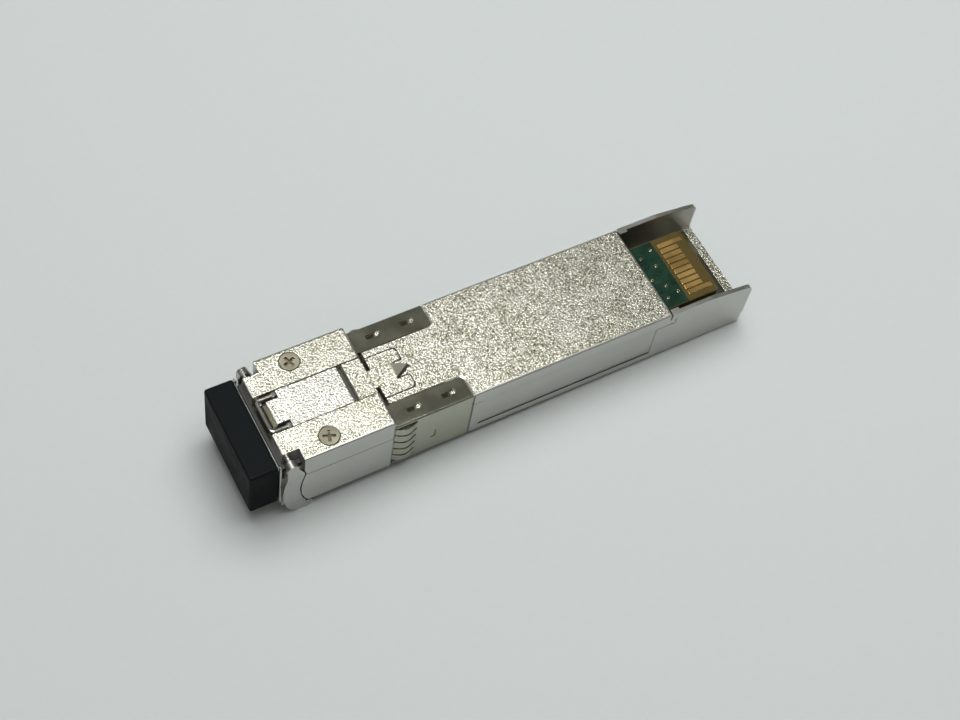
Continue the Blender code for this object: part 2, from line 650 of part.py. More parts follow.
def make_boss():
    """Drafted three-cornered boss: flat shoulder ahead, point behind."""
    bm = bmesh.new()
    rings = []
    for z, inset in ((BODY_TOP - 0.2, 0.0), (BODY_TOP + BOSS_HEIGHT, BOSS_DRAFT)):
        half = BOSS_HALF - inset
        plan = ((inset / 2, -half), (BOSS_LENGTH - 2.2 * inset, 0.0), (inset / 2, half))
        rings.append([bm.verts.new(Vector((x, y, z)) * MM) for x, y in plan])
    low, high = rings
    bm.faces.new(reversed(low))
    bm.faces.new(high)
    for i in range(3):
        after = (i + 1) % 3
        bm.faces.new((low[i], low[after], high[after], high[i]))
    boss = add_object("boss", mesh_from(bm, "boss"))
    boss.location = spot(SHOULDER_X, 0, 0)
    return boss


def make_latch_pin():
    return rod("latch_pin", "Y", (ROCKER_X, 0, ROCKER_Z), 0.25, 6.4, "steel", sides=16)


def strip(name, path, span, thick, finish):
    """A thin ribbon that follows (x, z) points and spans a width in y."""
    bm = bmesh.new()
    rows = [[bm.verts.new(Vector((x, y, z)) * MM) for y in span] for x, z in path]
    for first, second in zip(rows, rows[1:]):
        bm.faces.new((first[0], second[0], second[1], first[1]))
    made = add_object(name, mesh_from(bm, name), finish)
    made.location = spot(0, 0, 0)
    sheet = made.modifiers.new("sheet", "SOLIDIFY")
    sheet.thickness = thick * MM
    sheet.offset = 0.0
    return made


def make_latch_spring():
    """A bent leaf under the tongue; its front end lies on the pocket's floor."""
    path = [(-1.9, 6.93)] + [(-1.4 + 0.4 * i, 6.95 + 0.66 * math.sin(math.pi * i / 5)) for i in range(6)]
    path += [(1.0, 6.93)]
    return strip("latch_spring", path, (-0.5, 0.5), 0.1, "steel")


# ---------------------------------------------------------------- fasteners, plug, optics
def make_screw(side, sign):
    y = sign * SCREW_Y
    head = rod("screw_" + side, "Z", (SCREW_X, y, NOSE_TOP - 0.33), SCREW_SHANK_R, 0.56, "screw_steel",
               tip_radius=SCREW_HEAD_R - 0.05)
    join(head, rod("rim_" + side, "Z", (SCREW_X, y, NOSE_TOP - 0.08), SCREW_HEAD_R - 0.02, 0.14),
         rod("shank_" + side, "Z", (SCREW_X, y, 7.5), SCREW_SHANK_R, 4.6, sides=16))
    half_width, half_length, depth = SCREW_CROSS
    for turn in (0, 90):
        slot = block(f"cross_{side}_{turn}", (-half_width, half_width), (-half_length, half_length),
                     (-depth, depth))
        slot.location = spot(SCREW_X, y, NOSE_TOP)
        slot.rotation_euler = (0, 0, math.radians(turn + 20 * sign))
        cut(head, slot)


def make_receptacle():
    shell = block("lc_receptacle", (NOSE_FRONT + GAP, RECEPTACLE_REAR), (-RECEPTACLE_HALF, RECEPTACLE_HALF),
                  RECEPTACLE_Z, "black_resin")
    for side, sign in (("tx", 1), ("rx", -1)):
        y = sign * PORT_Y
        low, high = PORT_Z - PORT_HALF, PORT_Z + PORT_HALF
        cut(shell,
            block("port_" + side, (-18, PORT_REAR), (y - PORT_HALF, y + PORT_HALF), (low, high)),
            block("latch_slot_" + side, (-18, -12.5), (y - LATCH_SLOT_HALF, y + LATCH_SLOT_HALF),
                  (low - LATCH_SLOT_DEPTH, low + 0.5)),
            rod("sleeve_hole_" + side, "X", (-11.0, y, PORT_Z), 1.5, 3.0))
    return shell


def make_bezel():
    plate = block("port_bezel", (-16.58, NOSE_FRONT - 0.04), (-6.3, 6.3), (1.0, 8.8), "nickel", 0.08, 1)
    cut(plate, block("bezel_dip", (-18, -15), (-5.85, 5.85), (7.75, 10)))
    for side, sign in (("tx", 1), ("rx", -1)):
        y = sign * PORT_Y
        low, high = PORT_Z - PORT_HALF, PORT_Z + PORT_HALF
        cut(plate,
            block("bezel_port_" + side, (-18, -15), (y - PORT_HALF, y + PORT_HALF), (low, high)),
            block("bezel_slot_" + side, (-18, -15), (y - LATCH_SLOT_HALF, y + LATCH_SLOT_HALF),
                  (low - LATCH_SLOT_DEPTH, low + 0.5)))
    return plate


def make_dust_plug():
    head = block("dust_plug", PLUG_X, (-PLUG_HALF, PLUG_HALF), PLUG_Z, "black_rubber", 0.32, 3)
    for side, sign in (("tx", 1), ("rx", -1)):
        y = sign * PORT_Y
        join(head, block("boot_" + side, (PLUG_X[1] - 0.6, BOOT_END), (y - BOOT_HALF, y + BOOT_HALF),
                         (PORT_Z - BOOT_HALF, PORT_Z + BOOT_HALF), bevel=0.3, segments=1))
        cut(head, rod("boot_bore_" + side, "X", (BOOT_END - 1.35, y, PORT_Z), 1.6, 4.0, sides=20))
    return head


def make_optics(side, sign):
    """Sleeve, housing and can of one optical subassembly, and its flex."""
    y = sign * PORT_Y
    profile = [(-14.3, 0.64), (-14.3, 1.25), (-14.1, 1.45), (-9.3, 1.45), (-9.3, 1.75), (-8.9, 1.75),
               (-8.9, 1.35), (-8.45, 1.35), (-8.45, 0.0)]
    bore = [(-9.5, 0.0), (-9.5, 0.64)]
    smooth(turned(side + "_sleeve", bore + profile, (-11.4, y, PORT_Z), "steel"))
    smooth(rod(side + "_ferrule", "X", (-10.45, y, PORT_Z), 0.61, 1.8, "zirconia", sides=16))
    block(side + "_body", (-8.4, -5.5), (y - 2.4, y + 2.4), (2.75, 7.55), "kovar", 0.3, 1)
    can = [(-5.45, 0.0), (-5.45, 2.2), (-4.3, 2.2), (-4.3, 2.5), (-3.95, 2.5), (-3.95, 0.0)]
    smooth(turned(side + "_can", can, (-4.8, y, PORT_Z), "kovar"))
    path = [(-3.8, 3.4), (-3.8, 5.4), (-3.55, 5.95), (-3.0, 6.2), (-1.0, 6.2), (1.6, 6.15), (2.6, 6.2),
            (3.2, 6.36), (5.2, 6.36)]
    strip(side + "_flex", path, (y - 1.6, y + 1.6), 0.1, "flex")


def make_clamp():
    """Bracket across both subassemblies, standing on the label housing's floor."""
    bracket = block("optics_clamp", (-8.1, -6.0), (-5.75, 5.75), (WALL + GAP, 4.0), "nickel", 0.1, 1)
    for side, sign in (("tx", 1), ("rx", -1)):
        y = sign * PORT_Y
        cut(bracket, block("saddle_" + side, (-9, -5), (y - 2.45, y + 2.45), (2.7, 5)))
    return bracket


def make_gasket():
    pad = block("receptacle_gasket", (RECEPTACLE_REAR + GAP, -10.5), (-4.6, 4.6), (1.2, 7.6), "grey_rubber")
    for side, sign in (("tx", 1), ("rx", -1)):
        cut(pad, rod("gasket_hole_" + side, "X", (-10.8, sign * PORT_Y, PORT_Z), 1.5, 3.0))
    return pad


# ---------------------------------------------------------------- board
def make_board():
    waist = 32.5
    plan = [(BOARD_FRONT, -BOARD_HALF), (waist, -BOARD_HALF), (waist + 0.6, -BOARD_EDGE_HALF),
            (BOARD_REAR - 0.3, -BOARD_EDGE_HALF), (BOARD_REAR, -BOARD_EDGE_HALF + 0.3)]
    plan += [(x, -y) for x, y in reversed(plan)]
    board = outline("circuit_board", plan, "XY", BOARD_Z, "board")
    levels = (("latch", (BOARD_Z[1] - 0.05, BOARD_Z[1] + 0.03)),
              ("label", (BOARD_Z[0] - 0.03, BOARD_Z[0] + 0.05)))
    for level, z in levels:
        for i in range(PAD_COUNT):
            y = (i - (PAD_COUNT - 1) / 2) * PAD_PITCH
            span = (y - PAD_WIDTH / 2, y + PAD_WIDTH / 2)
            x = (PAD_START, PAD_LONG_END if i in (0, PAD_COUNT - 1) else PAD_END)
            join(board, block(f"pad_{level}_{i}", x, span, z))
    return board


COMPONENTS = {
    # name: x span, y span, height, side of the board, finish, bevel
    "driver_chip": ((7.6, 11.6), (0.9, 4.9), 0.85, "latch", "black_resin", 0.08),
    "amplifier_chip": ((7.6, 10.6), (-4.6, -1.6), 0.85, "latch", "black_resin", 0.08),
    "controller_chip": ((17.5, 22.5), (-2.5, 2.5), 0.9, "latch", "black_resin", 0.08),
    "memory_chip": ((26.0, 28.0), (1.2, 4.2), 0.7, "latch", "black_resin", 0.06),
    "power_inductor": ((25.4, 28.2), (-4.4, -1.6), 1.1, "latch", "grey_rubber", 0.2),
    "crystal": ((13.4, 15.6), (-4.2, -2.6), 0.6, "latch", "kovar", 0.1),
    "capacitor_front": ((13.4, 15.0), (2.6, 3.4), 0.6, "latch", "ceramic", 0.0),
    "capacitor_rear": ((30.2, 31.8), (-0.4, 0.4), 0.6, "latch", "ceramic", 0.0),
    "load_switch": ((20.0, 23.0), (-3.6, -0.6), 0.9, "label", "black_resin", 0.08),
    "capacitor_label": ((27.0, 28.6), (1.8, 2.6), 0.6, "label", "ceramic", 0.0),
}


def make_components():
    for name, (x, y, height, side, finish, bevel) in COMPONENTS.items():
        if side == "latch":
            z = (BOARD_Z[1] + GAP, BOARD_Z[1] + GAP + height)
        else:
            z = (BOARD_Z[0] - GAP - height, BOARD_Z[0] - GAP)
        block(name, x, y, z, finish, bevel, 1)
    chip_top = BOARD_Z[1] + GAP + 0.9
    block("thermal_pad", (17.8, 22.2), (-2.2, 2.2), (chip_top + GAP, CAVITY_TOP - GAP), "grey_rubber")


# ---------------------------------------------------------------- moving groups
def group_on(name, pivot, members):
    """Parent pieces to an empty that stands on their joint's axis."""
    empty = bpy.data.objects.new(name, None)
    PARTS.objects.link(empty)
    empty.location = pivot
    bpy.context.view_layer.update()
    for member in members:
        member.parent = empty
        member.matrix_parent_inverse = empty.matrix_world.inverted()


clear_scene()
PARTS = collection("optical_transceiver_module")
CUTTERS = collection("cutters")

make_label_housing()
make_latch_housing()
smooth(make_collar())
bail = make_bail()
bail_axle = make_bail_axle()
slide = make_release_slide()
yoke = make_slide_yoke()
rocker = make_latch_rocker()
make_latch_pin()
make_latch_spring()
for screw_side, screw_sign in (("near", -1), ("far", 1)):
    make_screw(screw_side, screw_sign)
make_receptacle()
make_bezel()
plug = make_dust_plug()
make_optics("tosa", 1)
make_optics("rosa", -1)
make_clamp()
make_gasket()
make_board()
make_components()

group_on("bail_pivot", spot(BAIL_X, 0, BAIL_Z), (bail, bail_axle))
group_on("slide_guide", spot(SLIDE_FRONT, 0, SLIDE_BOTTOM), (slide, yoke))
group_on("rocker_pivot", spot(ROCKER_X, 0, ROCKER_Z), (rocker,))
group_on("plug_guide", spot(PLUG_X[1], 0, PORT_Z), (plug,))
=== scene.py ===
"""Looks, light and camera for the pluggable optical transceiver module.

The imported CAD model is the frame.  Lengths on the module are millimetres from its
own datum (the latch shoulder, the centre plane and the label face), and `at` turns
them into metres in the row frame.  Lights and camera stand in row-frame metres.
"""

import json
import math

import bmesh
import bpy
from mathutils import Euler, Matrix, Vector


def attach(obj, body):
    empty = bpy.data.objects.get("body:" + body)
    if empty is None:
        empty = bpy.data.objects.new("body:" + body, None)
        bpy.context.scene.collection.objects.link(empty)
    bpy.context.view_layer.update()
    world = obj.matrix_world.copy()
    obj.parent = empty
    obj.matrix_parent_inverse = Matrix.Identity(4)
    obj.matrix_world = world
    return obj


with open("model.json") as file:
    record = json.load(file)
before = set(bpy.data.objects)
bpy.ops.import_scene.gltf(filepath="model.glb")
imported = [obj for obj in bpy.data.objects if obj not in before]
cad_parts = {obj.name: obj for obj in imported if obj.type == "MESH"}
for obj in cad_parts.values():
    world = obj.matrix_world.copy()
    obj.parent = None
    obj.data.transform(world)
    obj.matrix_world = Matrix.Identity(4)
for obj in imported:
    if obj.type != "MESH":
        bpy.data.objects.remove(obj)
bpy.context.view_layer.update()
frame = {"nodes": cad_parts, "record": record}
NODES = frame["nodes"]

MM = 0.001
DATUM = Vector((-12.45, 0.0, 1.25))


def at(x, y, z):
    """Datum millimetres to row-frame metres."""
    return (Vector((x, y, z)) + DATUM) * MM


# ---------------------------------------------------------------- node helpers
class Paint:
    """A Principled material, with short calls for the nodes that feed it."""

    def __init__(self, name, colour, metallic=0.0, roughness=0.5, **fixed):
        self.material = bpy.data.materials.new(name)
        self.material.use_nodes = True
        self.tree = self.material.node_tree
        self.shader = self.tree.nodes["Principled BSDF"]
        self.set("Base Color", (*colour, 1.0))
        self.set("Metallic", metallic)
        self.set("Roughness", roughness)
        for socket, value in fixed.items():
            self.set(socket.replace("_", " "), value)
        self.coords = self.tree.nodes.new("ShaderNodeTexCoord")
        self.place = self.coords.outputs["Object"]

    def feed(self, socket, value):
        """Link an output to a socket, or set the socket to a number or colour."""
        if isinstance(value, bpy.types.NodeSocket):
            self.tree.links.new(value, socket)
        else:
            socket.default_value = value

    def set(self, name, value):
        self.feed(self.shader.inputs[name], value)

    def node(self, kind, out, feeds, **settings):
        """Output `out` of a new node with these settings and inputs."""
        made = self.tree.nodes.new(kind)
        for key, value in settings.items():
            setattr(made, key, value)
        for key, value in feeds.items():
            self.feed(made.inputs[key], value)
        return made.outputs[out]

    def noise(self, size_mm, detail, rough, stretch=None):
        """Noise with features about size_mm across."""
        where = self.place
        if stretch:
            where = self.node("ShaderNodeMapping", "Vector", {"Vector": where, "Scale": stretch})
        return self.node("ShaderNodeTexNoise", "Fac",
                         {"Vector": where, "Scale": 1.0 / (size_mm * MM), "Detail": detail,
                          "Roughness": rough})

    def ramp(self, value, low, high, start, end):
        """Value from start..end mapped smoothly to low..high."""
        return self.node("ShaderNodeMapRange", "Result",
                         {"Value": value, "From Min": start, "From Max": end,
                          "To Min": low, "To Max": high}, interpolation_type="SMOOTHSTEP")

    def maths(self, operation, a, b):
        return self.node("ShaderNodeMath", 0, {0: a, 1: b}, operation=operation)

    def mix(self, share, a, b):
        """Blend of two colours or two colour sockets."""
        first, second = (c if isinstance(c, bpy.types.NodeSocket) else (*c, 1.0) for c in (a, b))
        return self.node("ShaderNodeMix", 2, {0: share, 6: first, 7: second}, data_type="RGBA")

    def rounded(self, radius_mm):
        """Normals that turn softly over the edges, as on a plated part."""
        return self.node("ShaderNodeBevel", "Normal", {"Radius": radius_mm * MM}, samples=4)

    def bump(self, height, depth_mm, strength, under):
        feeds = {"Height": height, "Distance": depth_mm * MM, "Strength": strength, "Normal": under}
        return self.node("ShaderNodeBump", "Normal", feeds)

    def part_of(self, socket, axis):
        return self.node("ShaderNodeSeparateXYZ", axis, {0: socket})

    def facing_up(self, start, end):
        """1 where the surface faces up, 0 where it doesn't."""
        return self.ramp(self.part_of(self.coords.outputs["Normal"], "Z"), 0.0, 1.0, start, end)

    def product(self, *factors):
        """All the factors multiplied together."""
        whole = factors[0]
        for factor in factors[1:]:
            whole = self.maths("MULTIPLY", whole, factor)
        return whole

    def outside(self, share):
        return self.maths("SUBTRACT", 1.0, share)

    def before(self, axis, limit, fade=0.1):
        """1 on the low side of a datum length along an axis, fading to 0 across it."""
        where = (limit + DATUM["XYZ".index(axis)]) * MM
        return self.ramp(self.part_of(self.place, axis), 1.0, 0.0, where - fade * MM, where + fade * MM)

    def after(self, axis, limit, fade=0.1):
        """1 on the high side of a datum length along an axis."""
        return self.outside(self.before(axis, limit, fade))

    def between(self, axis, low, high, fade):
        return self.maths("SUBTRACT", self.after(axis, low, fade), self.after(axis, high, fade))


# ---------------------------------------------------------------- materials
BLAST_END = 33.35             # the blasted face stops at the edge connector's opening
NOSE_REAR = -2.9              # where the nose steps down to the body
NOSE_TOP, BODY_TOP = 9.9, 8.5
SEAM_Z = 6.45                 # parting plane of the two housings
BEAM_FRONT = 43.9             # beam across the rear end
BODY_REAR = 45.0
PAINTED_SHADE = (0.18, 0.17, 0.12)     # painted shade in place of plain plating on the floor of a shallow groove
PAINTED_DEEP_SHADE = (0.045, 0.042, 0.028)   # darker painted shade for the floor of a deep one, which little light reaches
# groove floors below this height get the darker painted shade
PIT_Z = 8.2
# painted dark reflection: the smooth boss is painted darker than the satin plating
BOSS_DARK_REFLECTION = (0.37, 0.37, 0.31)
EAR_INNER = 6.24              # inner faces of the ears
FACE_MARGIN = 0.1             # a face is blasted from this far below its height
BOSS_MARGIN = 0.06            # the boss starts this far above the body's face
SEAM_HALF = 0.05              # half the width of the painted shade line at the parting plane
SEAM_SHADE_SHARE, EAR_SHADE_SHARE = 0.7, 0.65     # how far painted shade darkens the seam and the ears' inside
GRAIN, SPECK = 0.21, 0.115    # sizes of the blasting's coarse and fine marks
GRAIN_DEPTH, SPECK_DEPTH = 0.055, 0.025


def blasted_nickel(name, light=(0.94, 0.935, 0.84), dark=(0.34, 0.33, 0.21), side=(0.51, 0.51, 0.48)):
    """Plated die casting: coarse blasted latch side, satin sides; painted shade on groove floors, the seam
    and inside the ears; a painted dark reflection on the boss.
    """
    paint = Paint(name, light, metallic=1.0)
    up = paint.facing_up(0.95, 0.995)
    nose = paint.before("X", NOSE_REAR, 0.02)
    above_face = paint.after("Z", BODY_TOP + BOSS_MARGIN, 0.02)
    boss = paint.product(paint.after("X", NOSE_REAR, 0.02), above_face)
    body_face = paint.maths("SUBTRACT", paint.after("Z", BODY_TOP - FACE_MARGIN, 0.03), above_face)
    nose_face = paint.after("Z", NOSE_TOP - FACE_MARGIN, 0.03)
    face = paint.node("ShaderNodeMix", 0, {0: nose, 2: body_face, 3: nose_face})
    ahead = paint.before("X", BLAST_END)
    beam = paint.product(paint.after("X", BEAM_FRONT), up)
    blasted = paint.maths("MAXIMUM", paint.product(up, face, ahead), beam)
    # groove floors off the blasted face, darkened with painted shade
    groove = paint.product(up, paint.outside(face), ahead, paint.outside(boss))
    # the seam between the housings is real; the dark line along it is painted shade, wider than the gap
    seam = paint.product(paint.between("Z", SEAM_Z - SEAM_HALF, SEAM_Z + SEAM_HALF, 0.01),
                         ahead, SEAM_SHADE_SHARE)
    # painted shade inside the ears, behind the blasted face
    ear_shade = paint.product(paint.after("X", BLAST_END), paint.before("X", BODY_REAR - 0.2),
                                 paint.before("Z", BODY_TOP - 0.15, 0.05), paint.after("Z", 0.3),
                                 paint.before("Y", EAR_INNER, 0.02),
                                 paint.after("Y", -EAR_INNER, 0.02), EAR_SHADE_SHARE)

    grain = paint.noise(GRAIN, 2.0, 0.6)
    speck = paint.noise(SPECK, 1.0, 0.5)
    cloud = paint.noise(2.6, 2.0, 0.6)
    haze = paint.noise(3.0, 3.0, 0.6)
    mottle = paint.maths("ADD", grain, paint.product(cloud, 0.25))
    top = paint.mix(paint.ramp(mottle, 0.0, 1.0, 0.47, 0.68), dark, light)
    satin = paint.mix(paint.ramp(haze, 0.0, 1.0, 0.3, 0.7), tuple(0.95 * c for c in side), side)
    # painted shade colour for groove floors and the seam, darker below PIT_Z
    floor = paint.mix(paint.before("Z", PIT_Z, 0.03), PAINTED_SHADE, PAINTED_DEEP_SHADE)
    shaded = paint.mix(paint.maths("MAXIMUM", groove, seam), satin, floor)
    # the ears' inside is darkened with painted shade
    shaded = paint.mix(ear_shade, shaded, PAINTED_SHADE)
    # the boss gets its painted dark reflection colour
    shaded = paint.mix(boss, shaded, BOSS_DARK_REFLECTION)
    paint.set("Base Color", paint.mix(blasted, shaded, top))

    rough_top = paint.ramp(speck, 0.16, 0.36, 0.3, 0.7)
    rough_side = paint.ramp(haze, 0.31, 0.37, 0.3, 0.7)
    paint.set("Roughness", paint.node("ShaderNodeMix", 0, {0: blasted, 2: rough_side, 3: rough_top}))
    edge = paint.rounded(0.07)
    coarse = paint.bump(grain, GRAIN_DEPTH, 1.0, edge)
    fine = paint.bump(speck, SPECK_DEPTH, 0.9, coarse)
    paint.set("Normal", paint.node("ShaderNodeMix", 1, {0: blasted, 4: edge, 5: fine},
                                   data_type="VECTOR"))
    return paint.material


def sheet_steel(name, colour, rough=0.22, scratch=0.25, face=None):
    """Rolled or turned steel: faint scratches and cloudy smears, with painted shade below its face."""
    paint = Paint(name, colour, metallic=1.0)
    lines = paint.noise(0.3, 2.0, 0.6, stretch=(0.10, 1.0, 1.0))
    smear = paint.noise(2.4, 3.0, 0.55)
    shade = paint.ramp(smear, 0.0, 1.0, 0.3, 0.7)
    skin = paint.mix(shade, tuple(0.93 * c for c in colour), colour)
    if face is not None:
        # painted shade below the face height
        skin = paint.mix(paint.after("Z", face, 0.02), PAINTED_SHADE, skin)
    paint.set("Base Color", skin)
    paint.set("Roughness", paint.ramp(smear, rough * 0.85, rough * 1.2, 0.3, 0.7))
    paint.set("Normal", paint.bump(lines, 0.0015, scratch, paint.rounded(0.05)))
    return paint.material


def moulded(name, colour, rough=0.6, grain_mm=0.12, depth_mm=0.012, variation=0.3, **fixed):
    """Moulded plastic or rubber with a fine matt grain and faint handling marks."""
    paint = Paint(name, colour, **fixed)
    grain = paint.noise(grain_mm, 3.0, 0.6)
    marks = paint.noise(2.4, 4.0, 0.6)
    lighter = tuple(c * (1 + variation) + 0.001 for c in colour)
    paint.set("Base Color", paint.mix(paint.ramp(marks, 0.0, 1.0, 0.35, 0.75), colour, lighter))
    paint.set("Roughness", paint.ramp(marks, rough * 0.88, min(1.0, rough * 1.12), 0.3, 0.7))
    paint.set("Normal", paint.bump(grain, depth_mm, 0.6, paint.rounded(0.05)))
    return paint.material


MASK_END = 37.55              # green mask ahead of this, bare laminate behind it
MASK_HALF = 4.62


def laminate(name, mask=(0.0016, 0.015, 0.008), bare=(0.070, 0.050, 0.009)):
    """Circuit board: dark green mask, then bare glass laminate round the contacts."""
    paint = Paint(name, mask, roughness=0.35, Specular_IOR_Level=0.2)
    weave = paint.noise(0.35, 2.0, 0.5, stretch=(1.0, 0.25, 1.0))
    marks = paint.noise(1.6, 4.0, 0.6)
    green = paint.mix(paint.ramp(marks, 0.0, 1.0, 0.35, 0.7), mask, tuple(1.8 * c for c in mask))
    yellow = paint.mix(weave, tuple(0.7 * c for c in bare), bare)
    masked = paint.product(paint.before("X", MASK_END, 0.05), paint.before("Y", MASK_HALF, 0.04),
                           paint.after("Y", -MASK_HALF, 0.04))
    paint.set("Base Color", paint.mix(masked, yellow, green))
    paint.set("Roughness", paint.ramp(marks, 0.30, 0.48, 0.3, 0.7))
    paint.set("Normal", paint.bump(weave, 0.006, 0.5, paint.rounded(0.04)))
    return paint.material


FINISHES = {
    "die_cast_nickel": lambda: blasted_nickel("blasted_nickel"),
    "slide_nickel": lambda: blasted_nickel("slide_nickel", (0.97, 0.965, 0.92), (0.62, 0.60, 0.50)),
    "rocker_nickel": lambda: blasted_nickel("rocker_nickel"),
    "bail_nickel": lambda: sheet_steel("bail_nickel", (0.50, 0.50, 0.475), 0.30, 0.05),
    "bezel_nickel": lambda: sheet_steel("bezel_nickel", (0.60, 0.59, 0.56), 0.28),
    "clamp_nickel": lambda: sheet_steel("clamp_nickel", (0.60, 0.59, 0.56), 0.30),
    "collar_steel": lambda: sheet_steel("collar_steel", (0.41, 0.41, 0.33), 0.19),
    "pin_steel": lambda: sheet_steel("pin_steel", (0.62, 0.61, 0.58), 0.22),
    "yoke_steel": lambda: sheet_steel("yoke_steel", (0.60, 0.59, 0.56), 0.22),
    "spring_steel": lambda: sheet_steel("spring_steel", (0.55, 0.54, 0.52), 0.25),
    # screws get painted shade below the nose's top face
    "screw_steel": lambda: sheet_steel("screw_steel", (0.44, 0.41, 0.31), 0.34, 3.0, face=NOSE_TOP - 0.06),
    "sleeve_steel": lambda: sheet_steel("sleeve_steel", (0.62, 0.61, 0.59), 0.24),
    "crystal_can": lambda: sheet_steel("crystal_can", (0.66, 0.62, 0.52), 0.25),
    "optics_kovar": lambda: sheet_steel("optics_kovar", (0.80, 0.62, 0.34), 0.24),
    "receptacle_resin": lambda: moulded("receptacle_resin", (0.018, 0.018, 0.019), 0.45),
    "chip_resin": lambda: moulded("chip_resin", (0.022, 0.022, 0.024), 0.50, 0.08, 0.004),
    "inductor_ferrite": lambda: moulded("inductor_ferrite", (0.07, 0.07, 0.075), 0.55),
    "capacitor_ceramic": lambda: moulded("capacitor_ceramic", (0.42, 0.28, 0.15), 0.40, 0.1, 0.003),
    "zirconia": lambda: moulded("zirconia", (0.82, 0.80, 0.74), 0.18, 0.1, 0.001, 0.05),
    "plug_rubber": lambda: moulded("plug_rubber", (0.0012, 0.0030, 0.0032), 0.62, 0.10, 0.010, 0.35,
                                   Specular_IOR_Level=0.08),
    "gasket_rubber": lambda: moulded("gasket_rubber", (0.20, 0.20, 0.21), 0.80),
    "thermal_silicone": lambda: moulded("thermal_silicone", (0.30, 0.34, 0.40), 0.75, 0.2, 0.01),
    "flex_polyimide": lambda: moulded("flex_polyimide", (0.42, 0.18, 0.03), 0.35, 0.2, 0.003),
    "board_laminate": lambda: laminate("board_laminate"),
}


def paint_nodes():
    """Give every CAD node the finish of its material slot."""
    made = {}
    for entry in frame["record"]["subparts"]:
        slot = entry["material_slot"]
        if slot not in made:
            made[slot] = FINISHES[slot]()
        mesh = NODES[entry["node"]].data
        mesh.materials.clear()
        mesh.materials.append(made[slot])


paint_nodes()

# ---------------------------------------------------------------- detail on board and housing
BOARD_TOP, BOARD_UNDER = 6.25, 5.25
SUNK = 0.01                   # how deep a piece on the board starts below its surface
PAD_PITCH, PAD_HALF = 0.8, 0.3
PAD_COUNT = 10
PAD_START, PAD_END, LONG_PAD_END = 38.0, 40.45, 41.35
PAD_RISE, PAD_EDGE, PAD_CORNER = 0.07, 0.02, 0.08
TRACK_STEPS = 10
TRACK_GAP, TRACK_LENGTH, TRACK_WIDTH, TRACK_RISE = 0.1, 3.6, 0.09, 0.025
TRACK_LEANS = (0.9, -0.7, 0.5, 1.1, -1.0, 0.6, -0.5, 0.8)   # sideways run of each track
VIAS = ((35.2, 2.9), (36.4, 1.3), (34.9, -0.3), (36.0, -1.7), (36.9, 3.5), (35.4, -3.3),
        (37.0, -2.9))
VIA_SIDES = 16
VIA_PROFILE = ((0.20, -SUNK), (0.19, 0.035), (0.11, 0.04), (0.09, -0.2))   # (radius, height)
FLAP_EDGE, FLAP_CORNER, RECESS_END, RECESS_SIDE = 3.57, 0.78, 7.2, 6.55
RIM_LEAD = ((4.9, FLAP_EDGE), (5.6, FLAP_EDGE))            # straight run before the corner
RIM_TAIL = ((RECESS_END, 5.4), (RECESS_END, RECESS_SIDE))  # and after it
RIM_SECTION = ((0.17, 8.39), (-0.05, 8.515), (-0.05, 8.3), (0.17, 8.3))    # (towards the flap, height)


def new_piece(name, bm, paint, body):
    """Make the mesh a smooth-shaded piece that moves with a body."""
    mesh = bpy.data.meshes.new(name)
    bmesh.ops.recalc_face_normals(bm, faces=bm.faces)
    bm.to_mesh(mesh)
    bm.free()
    mesh.materials.append(paint)
    piece = bpy.data.objects.new(name, mesh)
    bpy.context.scene.collection.objects.link(piece)
    mesh.shade_smooth()
    mesh.set_sharp_from_angle(angle=math.radians(40))
    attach(piece, body)


def loft(bm, rings):
    """A closed solid through rings of vertices that have the same count."""
    count = len(rings[0])
    for first, second in zip(rings, rings[1:]):
        for k in range(count):
            bm.faces.new((first[k - 1], first[k], second[k], second[k - 1]))
    bm.faces.new(rings[0])
    bm.faces.new(rings[-1])


def slab(bm, plan, low, high, inset):
    """A thin plate over a plan outline, with its outer edge drawn in."""
    cx = sum(x for x, _ in plan) / len(plan)
    cy = sum(y for _, y in plan) / len(plan)
    rings = []
    for z, pull in ((low, 0.0), (high - math.copysign(inset, high - low), 0.0), (high, inset)):
        ring = []
        for x, y in plan:
            share = 1 - pull / math.hypot(x - cx, y - cy)
            ring.append(bm.verts.new(at(cx + (x - cx) * share, cy + (y - cy) * share, z)))
        rings.append(ring)
    loft(bm, rings)


def rounded_plan(x0, x1, y0, y1, r, steps=3):
    """A rectangle with round corners, as (x, y) points."""
    plan = []
    corners = ((x1 - r, y1 - r), (x0 + r, y1 - r), (x0 + r, y0 + r), (x1 - r, y0 + r))
    for quarter, (cx, cy) in enumerate(corners):
        for i in range(steps + 1):
            a = math.radians(90 * (quarter + i / steps))
            plan.append((cx + r * math.cos(a), cy + r * math.sin(a)))
    return plan


def pad_y(i):
    """Middle of contact i across the board."""
    return (i - (PAD_COUNT - 1) / 2) * PAD_PITCH


def make_contacts(paint):
    """Gold edge contacts on both faces, longer at the two ends of each row."""
    for side, low, high in (("latch", BOARD_TOP - SUNK, BOARD_TOP + PAD_RISE),
                            ("label", BOARD_UNDER + SUNK, BOARD_UNDER - PAD_RISE)):
        bm = bmesh.new()
        for i in range(PAD_COUNT):
            y = pad_y(i)
            end = LONG_PAD_END if i in (0, PAD_COUNT - 1) else PAD_END
            plan = rounded_plan(PAD_START, end, y - PAD_HALF, y + PAD_HALF, PAD_CORNER)
            slab(bm, plan, low, high, PAD_EDGE)
        new_piece("edge_contacts_" + side, bm, paint, "module")


def across(path, i):
    """Unit vector square to a path of (x, y) points at its point i."""
    before, after = path[max(i - 1, 0)], path[min(i + 1, len(path) - 1)]
    size = math.hypot(after[0] - before[0], after[1] - before[1])
    return (before[1] - after[1]) / size, (after[0] - before[0]) / size


